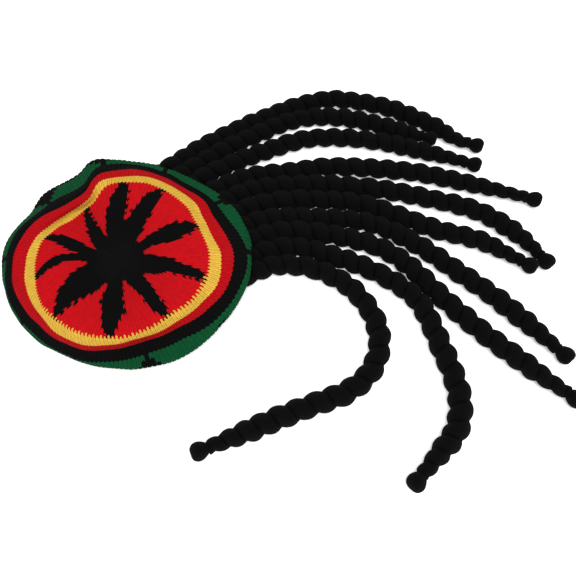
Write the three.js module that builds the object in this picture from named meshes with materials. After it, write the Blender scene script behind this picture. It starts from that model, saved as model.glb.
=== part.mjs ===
// Rasta tam: a knitted cap with ten knitted locks sewn to the side of its band.
// Millimetres, +Z up. The cap lies crown up, its band stands on z = 0, and the locks lie beside it.
import * as THREE from 'three';
import { mergeVertices } from 'three/addons/utils/BufferGeometryUtils.js';

// Crown: rings of knitting measured along the fabric, from the middle outwards.
const leafRadius = 100;
const yellowWidth = 13;
const redWidth = 15;
const blackWidth = 16;
const greenWidth = 26;
const knitWall = 2.5;

// Crown as it lies: the height of its top, the sag in the middle, and the fold under the rim.
const crownHeight = 46;
const crownSag = 3;
const rimFoldDepth = 7;
const rimFoldInset = 6;
const floorClearance = 2;
const lipOverhang = 1;

// Ribbed band that the head goes into.
const bandRadius = 89;
const bandWall = 3;
const bandHeight = 26;
const ribCount = 64;
const ribDepth = 0.8;
// The cap lies a little askew: its band, with the locks, stands off the middle of the crown's outline.
const bandShiftX = 2.5;
const bandShiftY = -5.1;

// Locks: the thickness of a lock, the knob at its end, and its lift off the surface.
const lockDiameter = 20;
const knobDiameter = 19;
const lockLift = 0.3;

// Small gap that separate pieces keep where they meet.
const seatGap = 0.3;

// How the crown lies, a row for each direction from the middle of the leaf.
// leaf and height are shares of leafRadius and crownHeight. yellow, red, black and green say how
// steeply each ring falls, in degrees. squeeze is a share of the ring widths, and over is the
// share of the green ring that lies before the rim.
const crownColumns = ['azimuth', 'leaf', 'height', 'yellow', 'red', 'black', 'green', 'squeeze', 'over'];
const crownRows = [
  [0, 1.04, 1.00, 4, 9, 14, 60, 1.00, 0.30],
  [25, 0.98, 1.00, 28, 8, 10, 20, 1.00, 0.45],
  [55, 0.98, 1.00, 16, 30, 14, 10, 0.95, 0.30],
  [84, 1.07, 1.00, 18, 22, 22, 10, 0.82, 0.35],
  [103, 1.07, 0.92, 13, 10, 18, 15, 1.00, 0.45],
  [118, 0.95, 0.72, -75, -10, 20, 20, 0.80, 1.40],
  [137, 0.93, 0.71, -70, 0, 20, 20, 0.85, 1.30],
  [152, 0.94, 0.78, -50, 0, 25, 40, 0.85, 0.70],
  [175, 0.91, 0.96, 0, 5, 30, 50, 1.00, 0.40],
  [205, 0.90, 0.98, 30, 30, 40, 80, 1.00, 0.25],
  [240, 0.94, 1.00, 50, 65, 50, 85, 0.88, 0.15],
  [270, 0.97, 1.00, 65, 88, 45, 30, 0.85, 0.30],
  [300, 0.96, 1.00, 70, 85, 36, 20, 0.85, 0.75],
  [330, 1.03, 1.00, 45, 40, 22, 40, 0.90, 0.25],
];
// The middle of the field keeps more of its height than the edge where the edge dips.
const fieldShare = 0.6;
const fieldDip = 0.3;

// Mesh fineness: directions round the crown, and steps along each stretch of a meridian.
const crownDirections = 64;
const meridianSteps = [3, 3, 1, 2, 2, 1, 2, 2, 2];
const lockSides = 10;
const knobSides = 12;
const knobRows = 8;

// Where each lock lies, from its root at the band to its end, in x and y from the band's middle.
const lockRoutes = [
  [[-38.8, 90.5], [-14, 111], [10, 131], [34, 150], [57, 170], [81, 189], [106, 206], [132, 222], [159, 237],
    [186, 251], [215, 262], [244, 269], [275, 266], [305, 259], [333, 249], [359, 234], [384, 219],
    [400, 204.5], [415, 192], [430, 186]],
  [[2.1, 96.2], [25, 116], [48, 135], [71, 154], [94, 172], [119, 189], [144, 204], [170, 219], [197, 230],
    [226, 235], [256, 234], [285, 228], [313, 219], [341, 208], [355, 202.5], [369, 198]],
  [[27.7, 89.7], [48, 108], [69, 125], [91, 141], [114, 154], [138, 166], [163, 177], [188, 188], [213, 195],
    [240, 197], [267, 196], [294, 192], [320, 187], [346, 179], [371, 171], [397, 162], [422, 153]],
  [[47.3, 79.6], [72, 96], [96, 112], [122, 126], [149, 134], [178, 137], [207, 142], [235, 146], [264, 146],
    [293, 144], [322, 141], [351, 137], [379, 130], [407, 122], [434, 114], [462, 105], [489, 96]],
  [[63.5, 64.6], [88, 82], [113, 97], [140, 110], [169, 115], [198, 117], [228, 118], [257, 115], [286, 112],
    [315, 107], [344, 100], [373, 92], [401, 84], [428, 72], [452, 54], [472, 33], [488, 9]],
  [[76, 47], [98, 61], [121, 74], [145, 85], [170, 91], [196, 93], [222, 93], [249, 91], [275, 87],
    [299, 79], [323, 68], [347, 57], [371, 46], [396, 39], [421, 30], [443, 16], [465, 1]],
  [[85.8, 28.9], [112, 43], [138, 57], [166, 65], [195, 66], [224, 65], [254, 63], [282, 58], [309, 47],
    [334, 31], [357, 13], [379, -7], [401, -26], [423, -46], [443, -67], [463, -89], [482, -111]],
  [[92.3, 8.6], [119, 23], [145, 36], [174, 45], [203, 45], [233, 41], [262, 34], [290, 24], [315, 8],
    [336, -13], [354, -36], [373, -59], [393, -81], [414, -102], [436, -122], [458, -142], [481, -161]],
  [[93.7, -15.1], [121, 0], [148, 13], [176, 22], [206, 20], [235, 11], [263, 0], [290, -14], [315, -31],
    [335, -53], [346, -82], [354, -111], [362, -140], [365, -170], [357, -199], [337, -222], [316, -244]],
  [[84.4, -49.4], [111, -32], [138, -16], [166, -4], [197, -4], [226, -13], [252, -29], [272, -53], [284, -81],
    [284, -112], [270, -140], [246, -159], [217, -170], [188, -181], [159, -193], [131, -205], [102, -217]],
];

const colours = { crown: 0xc2181c, black: 0x141414 };

function knit(colour) {
  return new THREE.MeshStandardMaterial({ color: colour, roughness: 0.92, metalness: 0 });
}

// A row of the crown's table for any azimuth, by a smooth closed curve through the rows.
function crownAt(azimuth) {
  const count = crownRows.length;
  let after = crownRows.findIndex((row) => row[0] > azimuth);
  if (after < 0) after = count;
  const row = (k) => crownRows[((k % count) + count) % count];
  const angle = (k) => row(k)[0] + 360 * Math.floor(k / count);
  const t0 = angle(after - 1);
  const t1 = angle(after);
  const span = t1 - t0;
  const t = (azimuth - t0) / span;
  const values = { azimuth };
  crownColumns.slice(1).forEach((column, index) => {
    const p = [-2, -1, 0, 1].map((k) => row(after + k)[index + 1]);
    const slopeIn = (p[2] - p[0]) / (t1 - angle(after - 2)) * span;
    const slopeOut = (p[3] - p[1]) / (angle(after + 1) - t0) * span;
    const t2 = t * t;
    const t3 = t2 * t;
    values[column] = (2 * t3 - 3 * t2 + 1) * p[1] + (t3 - 2 * t2 + t) * slopeIn
      + (3 * t2 - 2 * t3) * p[2] + (t3 - t2) * slopeOut;
  });
  return values;
}

// Distance and height of each ring's edge in one direction, from the leaf out to the rim.
function ringEdges(azimuth) {
  const lie = crownAt(azimuth);
  const lowestRim = floorClearance + rimFoldDepth;
  const edges = [];
  let r = leafRadius * lie.leaf;
  let z = crownHeight * lie.height;
  edges.push([r, z]);
  const rings = [
    [yellowWidth, lie.yellow],
    [redWidth, lie.red],
    [blackWidth, lie.black],
    [greenWidth * lie.over, lie.green],
  ];
  for (const [width, fall] of rings) {
    const angle = THREE.MathUtils.degToRad(fall);
    r += width * lie.squeeze * Math.cos(angle);
    z = Math.max(z - width * lie.squeeze * Math.sin(angle), lowestRim);
    edges.push([r, z]);
  }
  return edges;
}

// The leaf's middle, placed so that the crown's outline is centred over the band.
function leafMiddle() {
  const box = new THREE.Box2();
  for (let i = 0; i < crownDirections * 4; i += 1) {
    const azimuth = 360 * i / (crownDirections * 4);
    const rim = ringEdges(azimuth).at(-1)[0];
    const angle = THREE.MathUtils.degToRad(azimuth);
    box.expandByPoint(new THREE.Vector2(rim * Math.cos(angle), rim * Math.sin(angle)));
  }
  return box.getCenter(new THREE.Vector2()).negate();
}

// One meridian of the crown's outer face: middle, field, rings, rim, fold, underside, lip. A last
// flat stretch lies over the band's top.
function meridian(azimuth, middle) {
  const angle = THREE.MathUtils.degToRad(azimuth);
  const direction = new THREE.Vector2(Math.cos(angle), Math.sin(angle));
  const fromMiddle = (r, z) => new THREE.Vector3(middle.x + r * direction.x, middle.y + r * direction.y, z);
  const bandMiddle = new THREE.Vector3(bandShiftX, bandShiftY, 0);
  const fromBand = (r, z) => new THREE.Vector3(r * direction.x, r * direction.y, z).add(bandMiddle);
  const edges = ringEdges(azimuth);
  const [leafEdge, leafZ] = edges[0];
  const [rim, rimZ] = edges.at(-1);
  const middleZ = crownHeight - crownSag;
  const seat = bandHeight + seatGap;
  const fold = fromMiddle(rim - rimFoldInset, rimZ - rimFoldDepth);
  const lip = fromBand(bandRadius + lipOverhang, seat);
  const curve = new THREE.CatmullRomCurve3([
    fromMiddle(0, middleZ),
    fromMiddle(leafEdge * fieldShare, middleZ + (leafZ - middleZ) * fieldDip),
    ...edges.map(([r, z]) => fromMiddle(r, z)),
    fold,
    fold.clone().lerp(lip, 0.55),
    lip,
  ], false, 'centripetal');
  const spans = meridianSteps.length;
  const points = [];
  meridianSteps.forEach((steps, span) => {
    for (let k = 0; k < steps; k += 1) points.push(curve.getPoint((span + k / steps) / spans));
  });
  return [...points, lip, fromBand(bandRadius - bandWall, seat)];
}

// The crown's outer face is sampled on a grid. Its inner face lies one wall inside it.
function crownGeometry() {
  const middle = leafMiddle();
  const outer = [];
  for (let i = 0; i < crownDirections; i += 1) outer.push(meridian(360 * i / crownDirections, middle));
  const rows = outer[0].length;
  const at = (grid, i, j) => grid[(i + crownDirections) % crownDirections][j];
  const inner = outer.map((line, i) => line.map((point, j) => {
    if (j === 0) return point.clone().setZ(point.z - knitWall);
    const along = at(outer, i, Math.min(j + 1, rows - 1)).clone().sub(at(outer, i, j - 1));
    const round = at(outer, i + 1, j).clone().sub(at(outer, i - 1, j));
    const outward = along.cross(round).normalize();
    if (j >= rows - 2) outward.set(0, 0, -1);
    return point.clone().addScaledVector(outward, -knitWall);
  }));
  const positions = [];
  const triangles = [];
  const add = (point) => positions.push(point.x, point.y, point.z) / 3 - 1;
  const faces = [outer, inner].map((grid) => {
    const pole = add(grid[0][0]);
    const ids = grid.map((line) => line.map((point, j) => (j === 0 ? pole : add(point))));
    return (i, j) => ids[(i + crownDirections) % crownDirections][j];
  });
  faces.forEach((id, side) => {
    const push = (a, b, c) => triangles.push(...(side === 0 ? [a, b, c] : [a, c, b]));
    for (let i = 0; i < crownDirections; i += 1) {
      push(id(i, 0), id(i, 1), id(i + 1, 1));
      for (let j = 1; j < rows - 1; j += 1) {
        push(id(i, j), id(i, j + 1), id(i + 1, j + 1));
        push(id(i, j), id(i + 1, j + 1), id(i + 1, j));
      }
    }
  });
  const last = rows - 1;
  const [outside, inside] = faces;
  for (let i = 0; i < crownDirections; i += 1) {
    triangles.push(outside(i, last), inside(i, last), inside(i + 1, last));
    triangles.push(outside(i, last), inside(i + 1, last), outside(i + 1, last));
  }
  const geometry = new THREE.BufferGeometry();
  geometry.setAttribute('position', new THREE.Float32BufferAttribute(positions, 3));
  geometry.setIndex(triangles);
  return geometry;
}

// Upright ribs run round the band: its outer face rises and dips once for each rib.
function bandGeometry() {
  const outline = new THREE.Shape();
  const hole = new THREE.Path();
  const corners = ribCount * 2;
  for (let i = 0; i < corners; i += 1) {
    const angle = 2 * Math.PI * i / corners;
    const dip = i % 2 === 0 ? 0 : ribDepth;
    const outerRadius = bandRadius - dip;
    const innerRadius = bandRadius - bandWall + ribDepth - dip;
    outline[i === 0 ? 'moveTo' : 'lineTo'](outerRadius * Math.cos(angle), outerRadius * Math.sin(angle));
    hole[i === 0 ? 'moveTo' : 'lineTo'](innerRadius * Math.cos(angle), innerRadius * Math.sin(angle));
  }
  outline.closePath();
  hole.closePath();
  outline.holes.push(hole);
  const band = new THREE.ExtrudeGeometry(outline, { depth: bandHeight, bevelEnabled: false });
  return band.translate(bandShiftX, bandShiftY, 0);
}

function lockCurve(route) {
  const height = lockDiameter / 2 + lockLift;
  const points = route.map(([x, y]) => new THREE.Vector3(x + bandShiftX, y + bandShiftY, height));
  return new THREE.CatmullRomCurve3(points);
}

function lockGeometry(curve, steps) {
  const section = new THREE.Shape();
  for (let i = 0; i < lockSides; i += 1) {
    const angle = 2 * Math.PI * i / lockSides;
    const x = lockDiameter / 2 * Math.cos(angle);
    const y = lockDiameter / 2 * Math.sin(angle);
    section[i === 0 ? 'moveTo' : 'lineTo'](x, y);
  }
  section.closePath();
  return new THREE.ExtrudeGeometry(section, { steps, extrudePath: curve, bevelEnabled: false });
}

// The knob sits on the end of its lock, and like the lock it lies just clear of the surface.
function knobPlace(curve) {
  const reach = knobDiameter / 2 + seatGap;
  const place = curve.getPoint(1).addScaledVector(curve.getTangent(1), reach);
  return place.setZ(knobDiameter / 2 + lockLift);
}

function closed(geometry) {
  geometry.deleteAttribute('normal');
  geometry.deleteAttribute('uv');
  const solid = mergeVertices(geometry, 1e-3);
  solid.computeVertexNormals();
  return solid;
}

function piece(name, geometry, colour) {
  const mesh = new THREE.Mesh(closed(geometry), knit(colour));
  mesh.name = name;
  return mesh;
}

const group = new THREE.Group();
group.add(piece('crown', crownGeometry(), colours.crown));
group.add(piece('ribbed_band', bandGeometry(), colours.black));
lockRoutes.forEach((route, index) => {
  const number = String(index + 1).padStart(2, '0');
  const curve = lockCurve(route);
  group.add(piece(`lock_${number}`, lockGeometry(curve, route.length - 1), colours.black));
  const ball = new THREE.SphereGeometry(knobDiameter / 2, knobSides, knobRows);
  const knob = piece(`knob_${number}`, ball, colours.black);
  knob.position.copy(knobPlace(curve));
  group.add(knob);
});

export default group;
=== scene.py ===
import math

import bpy
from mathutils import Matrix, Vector, noise


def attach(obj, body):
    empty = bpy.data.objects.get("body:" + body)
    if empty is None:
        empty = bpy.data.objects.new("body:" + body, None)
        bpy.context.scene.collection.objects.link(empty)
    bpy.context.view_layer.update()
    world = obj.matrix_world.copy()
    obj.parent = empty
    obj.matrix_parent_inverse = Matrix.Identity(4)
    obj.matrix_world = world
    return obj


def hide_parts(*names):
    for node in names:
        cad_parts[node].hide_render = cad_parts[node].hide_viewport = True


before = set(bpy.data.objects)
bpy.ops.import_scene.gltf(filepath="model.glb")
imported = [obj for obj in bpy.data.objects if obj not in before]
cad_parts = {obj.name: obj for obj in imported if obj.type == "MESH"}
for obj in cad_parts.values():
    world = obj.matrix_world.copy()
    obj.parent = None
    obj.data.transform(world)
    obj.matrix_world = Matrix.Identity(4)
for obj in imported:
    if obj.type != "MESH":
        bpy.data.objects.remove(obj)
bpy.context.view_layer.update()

bl_info = {
    "name": "Rasta tam with knitted locks",
    "version": (1, 0, 0),
    "blender": (4, 5, 0),
    "location": "3D View > Sidebar > Tam",
    "description": "Knits the crown, band and locks of a tam around its packed model",
    "category": "Object",
}

MM = 0.001

# How the crown lies, as in the part's source: a row for each direction from the middle of the leaf, in
# degrees. Then come the leaf's reach and the height there, as shares of the leaf's radius and the crown's
# height, how steeply each of the four rings falls, in degrees, a share of the ring widths, and the share of
# the green ring that lies before the rim.
CROWN_ROWS = [
    (0, 1.04, 1.00, 4, 9, 14, 60, 1.00, 0.30),
    (25, 0.98, 1.00, 28, 8, 10, 20, 1.00, 0.45),
    (55, 0.98, 1.00, 16, 30, 14, 10, 0.95, 0.30),
    (84, 1.07, 1.00, 18, 22, 22, 10, 0.82, 0.35),
    (103, 1.07, 0.92, 13, 10, 18, 15, 1.00, 0.45),
    (118, 0.95, 0.72, -75, -10, 20, 20, 0.80, 1.40),
    (137, 0.93, 0.71, -70, 0, 20, 20, 0.85, 1.30),
    (152, 0.94, 0.78, -50, 0, 25, 40, 0.85, 0.70),
    (175, 0.91, 0.96, 0, 5, 30, 50, 1.00, 0.40),
    (205, 0.90, 0.98, 30, 30, 40, 80, 1.00, 0.25),
    (240, 0.94, 1.00, 50, 65, 50, 85, 0.88, 0.15),
    (270, 0.97, 1.00, 65, 88, 45, 30, 0.85, 0.30),
    (300, 0.96, 1.00, 70, 85, 36, 20, 0.85, 0.75),
    (330, 1.03, 1.00, 45, 40, 22, 40, 0.90, 0.25),
]

# The crown is knitted in the round: its wales run out from the middle and its courses go round it. The
# field takes the first courses, then come the yellow, red, black and green rings and the black fold.
WALES = 150
RING_COURSES = (30, 4, 5, 5, 8, 14)
FIELD_COURSES = RING_COURSES[0]
BLACK, RED, YELLOW, GREEN = range(4)
RING_YARNS = (RED, YELLOW, RED, BLACK, GREEN, BLACK)
# A stitch is four columns of faces wide: two for each of its legs. How high each column's edge stands
# beside the cloth, from the groove between two wales to the next, and how much its middle and its ends add.
STITCH_COLUMNS = 4
STITCH_RISE = (-1.0, 0.75, 0.2, 0.75)
MIDDLE_RISE, END_RISE = 0.3, -0.1
# The courses that are seen close have two rows of faces each. The inner face has one for each three.
CLOSE_COURSES = (8, 52)
INNER_STEP = 3
# How far a stitch's legs lean in the field and in the rings, in courses, which draws it as a V. They lean
# less within so many courses of the middle and of the lip.
FIELD_LEAN, RING_LEAN = 1.0, 0.6
MIDDLE_LEANS, LIP_LEANS = 12, 6
# The stitches rise between these courses from the middle, where the wales crowd, and sink before the lip.
RELIEF_GROWS, RELIEF_ENDS = (3, 18), 4
# The field bends at one share of its reach, where it has fallen by the other share. The underside bends at
# one share of the way from the fold to the lip. The cloth runs level out of the middle, in metres.
FIELD_BEND, FIELD_FALL, UNDER_BEND, LEVEL_REACH = 0.6, 0.3, 0.55, 0.05
# The outer red ring's yarn is painted darker than the field's, as painted shade on the ring.
RING_PAINTED_SHADE = (1.0, 1.0, 0.82, 1.0, 1.0, 1.0)

# How far along the cloth the field, yellow, red and black rings end, in millimetres, each 15 degrees round
# the crown. The cloth is pulled askew, so they aren't even.
RING_ENDS = [
    (100.5, 113.8, 128.0, 143.8), (99.8, 110.2, 125.8, 140.8), (100.8, 113.0, 125.5, 138.8),
    (104.2, 118.5, 131.2, 140.0), (103.8, 118.5, 130.5, 139.0), (102.0, 118.5, 132.0, 143.5),
    (98.5, 113.5, 131.5, 145.2), (102.2, 114.5, 127.2, 144.9), (99.0, 111.5, 124.0, 143.0),
    (94.0, 106.5, 122.0, 147.0), (97.8, 106.8, 126.0, 142.0), (101.2, 109.2, 124.5, 140.0),
    (100.5, 111.8, 127.5, 139.5), (99.8, 113.8, 130.0, 143.0), (101.0, 114.2, 127.8, 140.5),
    (102.0, 111.8, 125.0, 139.0), (100.0, 117.0, 127.5, 143.0), (100.5, 118.8, 129.8, 145.8),
    (100.8, 113.5, 126.8, 144.2), (105.0, 112.0, 126.8, 144.8), (104.6, 117.0, 127.8, 144.5),
    (99.8, 112.2, 122.2, 139.8), (102.6, 112.8, 124.0, 140.2), (102.2, 116.5, 127.8, 141.0),
]
GREEN_END = 170.0
# The directions of the black bars that cut the green ring, in degrees, and how many stitches each reaches to
# either side in each course. A bar widens below the rim.
BARS = (4, 39, 75, 105, 140, 178, 214, 250, 291, 330)
BAR_REACH = (0, 0, 1, 1, 2, 2, 3, 3)
# Between these directions the cloth is drawn up, and yellow points reach into the field.
YELLOW_POINTS = (222, 348)

# The leaf's ten rays: the directions of each ray's two edges, in degrees, at these distances along the
# cloth. Its notches are how far out the red starts between each ray and the next.
LEAF_DISTANCES = (32, 44, 56, 68, 80, 92, 98)
LEAF_RAYS = [
    [(21, 44.5), (24, 45.4), (22, 42.6), (19.5, 42.8), (21.9, 38.3), (22.4, 32.4), (23.5, 29.2)],
    [(54.5, 88), (56.5, 88), (61, 84.3), (62.9, 80.9), (63.4, 76.7), (64.1, 72.9), (64.8, 70)],
    [(84, 116), (86, 115.6), (89.3, 112), (88.7, 108.3), (89, 103.2), (89.8, 97.6), (90.7, 95.3)],
    [(119.5, 151), (120.5, 143.7), (121.8, 138.3), (122, 133.1), (121.6, 128.8), (121.6, 126), (121.4, 125)],
    [(154.8, 171), (154, 171), (152.6, 169.6), (152.5, 166), (152.7, 163.2), (154.5, 162.4), (156.5, 162)],
    [(170, 188), (170, 184), (171.2, 183.2), (174.1, 185), (179, 190.5), (188.7, 197), (194, 198.6)],
    [(192, 255), (194.9, 249.6), (201.3, 241.3), (209.6, 237.5), (220.2, 235.7), (228.5, 234.8),
     (230.9, 235)],
    [(261, 289.5), (258.7, 287.2), (259.4, 286.2), (263.3, 285.5), (266.9, 282), (270, 278.2), (271, 276.8)],
    [(295.5, 326), (300.9, 323.7), (304.5, 320.6), (305.5, 317.9), (305.4, 316.1), (308.3, 314.6),
     (309.6, 313.9)],
    [(330, 371), (333.5, 365.7), (342.1, 361.2), (343.8, 356.8), (343.3, 353.2), (343, 349.5),
     (343.4, 347.6)],
]
LEAF_NOTCHES = (31, 45, 36, 30.5, 50, 36, 33, 33, 38, 31)
# Teeth along the rays' edges point to the tips, in millimetres. They grow to their full depth between two
# distances, and each ray's are a share of it. Those on a ray's left edge lie a share of a tooth further in.
TOOTH_LENGTH, TOOTH_DEPTH = 9.0, 4.4
TEETH_GROW = (28, 66)
TOOTH_SHARES = (1, 1, 1, 0.9, 0.2, 0.4, 1, 1, 1, 1)
TOOTH_SHIFT = 0.45

# Where each lock lies, as in the part's source: x and y in millimetres from the band's middle.
LOCK_ROUTES = [
    [(-38.8, 90.5), (-14, 111), (10, 131), (34, 150), (57, 170), (81, 189), (106, 206), (132, 222),
     (159, 237), (186, 251), (215, 262), (244, 269), (275, 266), (305, 259), (333, 249), (359, 234),
     (384, 219), (400, 204.5), (415, 192), (430, 186)],
    [(2.1, 96.2), (25, 116), (48, 135), (71, 154), (94, 172), (119, 189), (144, 204), (170, 219),
     (197, 230), (226, 235), (256, 234), (285, 228), (313, 219), (341, 208), (355, 202.5),
     (369, 198)],
    [(27.7, 89.7), (48, 108), (69, 125), (91, 141), (114, 154), (138, 166), (163, 177), (188, 188),
     (213, 195), (240, 197), (267, 196), (294, 192), (320, 187), (346, 179), (371, 171), (397, 162),
     (422, 153)],
    [(47.3, 79.6), (72, 96), (96, 112), (122, 126), (149, 134), (178, 137), (207, 142), (235, 146),
     (264, 146), (293, 144), (322, 141), (351, 137), (379, 130), (407, 122), (434, 114), (462, 105),
     (489, 96)],
    [(63.5, 64.6), (88, 82), (113, 97), (140, 110), (169, 115), (198, 117), (228, 118), (257, 115),
     (286, 112), (315, 107), (344, 100), (373, 92), (401, 84), (428, 72), (452, 54), (472, 33), (488, 9)],
    [(76, 47), (98, 61), (121, 74), (145, 85), (170, 91), (196, 93), (222, 93), (249, 91), (275, 87),
     (299, 79), (323, 68), (347, 57), (371, 46), (396, 39), (421, 30), (443, 16), (465, 1)],
    [(85.8, 28.9), (112, 43), (138, 57), (166, 65), (195, 66), (224, 65), (254, 63), (282, 58), (309, 47),
     (334, 31), (357, 13), (379, -7), (401, -26), (423, -46), (443, -67), (463, -89), (482, -111)],
    [(92.3, 8.6), (119, 23), (145, 36), (174, 45), (203, 45), (233, 41), (262, 34), (290, 24), (315, 8),
     (336, -13), (354, -36), (373, -59), (393, -81), (414, -102), (436, -122), (458, -142), (481, -161)],
    [(93.7, -15.1), (121, 0), (148, 13), (176, 22), (206, 20), (235, 11), (263, 0), (290, -14),
     (315, -31), (335, -53), (346, -82), (354, -111), (362, -140), (365, -170), (357, -199), (337, -222),
     (316, -244)],
    [(84.4, -49.4), (111, -32), (138, -16), (166, -4), (197, -4), (226, -13), (252, -29), (272, -53),
     (284, -81), (284, -112), (270, -140), (246, -159), (217, -170), (188, -181), (159, -193), (131, -205),
     (102, -217)],
]
# The length over which each lock thins towards its knob, in millimetres.
LOCK_TAPERS = (60, 30, 70, 100, 55, 55, 55, 55, 50, 50)
# The lobes of locks that lie this close, in metres, fit between each other: each lobe may be longer or
# shorter by a share for that. Lobes also get shorter over the last centimetres, given in metres.
LOBES_MEET, LOBE_GIVE, LOBES_SHRINK = 0.033, 0.12, 0.04

# A knob's faces and pleats, how deep the pleats are, how much its far end sinks in and its neck stands out,
# as shares of its radius.
KNOB_SIDES, KNOB_ROWS, PLEATS = 52, 30, 13
PLEAT_DEPTH, END_SINKS, NECK_RISES = 0.05, 0.22, 0.28

# The room between the crown's lip and the band's top, in metres.
SEAT = 0.0003
# The stitches of the seam between the crown and its band. Each runs through these points: the share of the
# stitch, whether it lies on the crown's lip or the band, and how far out of that and above the band's top,
# in millimetres.
SEAM_STITCHES = 150
SEAM_POINTS = ((0, 0, -0.6, -2.5), (0.5, 0, 0.7, -0.8), (0.5, 1, 0.4, 0.6), (1, 1, 0.2, 2.2))
# The stitches at each lock's root: their turns, how far apart they are, how far each bows, and how far they
# start inside the band's face, in millimetres.
ROOT_TURNS = (-3, -2, -1, 0, 1, 2, 3)
ROOT_GAP, ROOT_BOW, ROOT_SINKS = 1.9, 0.4, 0.6

# How deep the fine relief of each yarn is, in metres.
LEAF_DEPTH, BLACK_DEPTH, THREAD_DEPTH = 0.0006, 0.0005, 0.0001
# Courses for each metre of black knit, each 1.7 mm high.
BLACK_COURSES = 600

# The camera as in the photo, and the soft light of a studio table. Places and sizes are in metres.
CAMERA_PLACE, CAMERA_DOWN, LENS, SENSOR = (0.1866, -0.3448, 0.585), 62, 35.0, 36.0
LAMPS = (("key", (0.4, -0.7, 2.0), 1.5, 50.0), ("fill", (-0.9, 0.9, 1.7), 1.8, 5.0))
LAMPS_AIM = (0.15, 0, 0)
SKY_LIGHT = 0.46
FLOOR_REACH, FLOOR_GLOW = 6.0, 0.3


def length(name, text, default):
    """A size in metres that a user may change."""
    return bpy.props.FloatProperty(name=name, description=text, default=default, unit="LENGTH", precision=4)


def colour(name, text, default):
    """A yarn's colour as an sRGB hex value."""
    return bpy.props.StringProperty(name=name, description=text, default=default)


def linear(hex_value):
    """The linear colour of an sRGB hex value such as #c2181c."""
    parts = [int(hex_value[k:k + 2], 16) / 255 for k in (1, 3, 5)]
    return [*(p / 12.92 if p <= 0.04045 else ((p + 0.055) / 1.055) ** 2.4 for p in parts), 1.0]


class CrownSizes(bpy.types.PropertyGroup):
    """Sizes of the knitted crown, measured along its cloth from the middle outwards"""

    leaf: length("Leaf radius", "From the crown's middle to the end of the leaf's field", 0.100)
    yellow: length("Yellow ring", "Width of the yellow ring", 0.013)
    red: length("Red ring", "Width of the red ring", 0.015)
    black: length("Black ring", "Width of the black ring", 0.016)
    green: length("Green ring", "Width of the green ring", 0.026)
    wall: length("Knit thickness", "Thickness of the crown's knit", 0.0023)
    height: length("Crown height", "Height of the crown's top as it lies", 0.046)
    sag: length("Crown sag", "How far the middle sags below the top", 0.003)
    fold_depth: length("Fold depth", "How far the fold under the rim drops", 0.007)
    fold_inset: length("Fold inset", "How far the fold lies in from the rim", 0.006)
    clearance: length("Floor clearance", "Least room between the fold and the surface", 0.002)
    lip: length("Lip overhang", "How far the crown's lip stands out over the band", 0.001)
    relief: length("Stitch relief", "How far the stitches' legs stand out of the cloth", 0.0006)


class BandSizes(bpy.types.PropertyGroup):
    """Sizes of the ribbed band"""

    radius: length("Band radius", "Outer radius of the relaxed band", 0.089)
    wall: length("Band wall", "Thickness of the band's knit", 0.003)
    height: length("Band height", "Height of the band", 0.026)
    shift_x: length("Band shift X", "How far the band stands off the crown's middle, along X", 0.0025)
    shift_y: length("Band shift Y", "How far the band stands off the crown's middle, along Y", -0.0051)
    rib_depth: length("Rib depth", "How deep the grooves between ribs are", 0.0008)
    ribs: bpy.props.IntProperty(name="Ribs", description="Ribs round the band", default=64, min=8)


class LockSizes(bpy.types.PropertyGroup):
    """Sizes of the locks and of their knobs"""

    crest: length("Crest radius", "Radius of a lock at the top of a lobe", 0.0125)
    groove: length("Groove radius", "Radius of a lock in the groove between lobes", 0.0089)
    axis: length("Axis height", "Height of a lock's middle above the surface", 0.0103)
    lobe: length("Lobe length", "Length of one lobe along the lock", 0.0215)
    knob: length("Knob radius", "Radius of the knob at a lock's end", 0.0099)
    knob_seat: length("Knob seat", "Distance from a lock's end to its knob's middle", 0.0090)
    lift: length("Lift", "How far locks and knobs lie clear of the surface", 0.0003)
    tip: bpy.props.FloatProperty(name="Tip share", description="Share of the thickness left at the knob",
                                 default=0.62, min=0.3, max=1)


class YarnColours(bpy.types.PropertyGroup):
    """Colours of the yarns and of the surface that the tam lies on"""

    red: colour("Red yarn", "Colour of the red yarn", "#bd0e17")
    yellow: colour("Yellow yarn", "Colour of the yellow yarn", "#d4aa40")
    green: colour("Green yarn", "Colour of the green yarn", "#0a4727")
    black: colour("Black yarn", "Colour of the black yarn", "#080808")
    floor: colour("Floor", "Colour of the surface below", "#fbfbfa")


def add(tree, kind, inputs=(), **settings):
    """Adds one node, with its settings. Each input gets a value, or a link from a socket or node."""
    node = tree.nodes.new(kind)
    for name, value in settings.items():
        setattr(node, name, value)
    for key, value in inputs.items() if isinstance(inputs, dict) else enumerate(inputs):
        if isinstance(value, bpy.types.Node):
            value = value.outputs[0]
        if isinstance(value, bpy.types.NodeSocket):
            tree.links.new(value, node.inputs[key])
        else:
            node.inputs[key].default_value = value
    return node


def work_out(tree, known, steps):
    """Adds a table of sums: each row names its result, its operation and its operands."""
    for name, operation, *operands in steps:
        sockets = [known[o] if isinstance(o, str) else o for o in operands]
        known[name] = add(tree, "ShaderNodeMath", sockets, operation=operation).outputs[0]


def new_group(name, kind, inputs, outputs):
    """An empty node group with named sockets: returns it with its input sockets by name, and its output."""
    group = bpy.data.node_groups.new(name, kind)
    for way, rows in (("INPUT", inputs), ("OUTPUT", outputs)):
        for label, socket, *default in rows:
            item = group.interface.new_socket(name=label, in_out=way, socket_type=f"NodeSocket{socket}")
            if default:
                item.default_value = default[0]
    start = group.nodes.new("NodeGroupInput")
    known = {socket.name: socket for socket in start.outputs if socket.name}
    return group, known, group.nodes.new("NodeGroupOutput")


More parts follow.
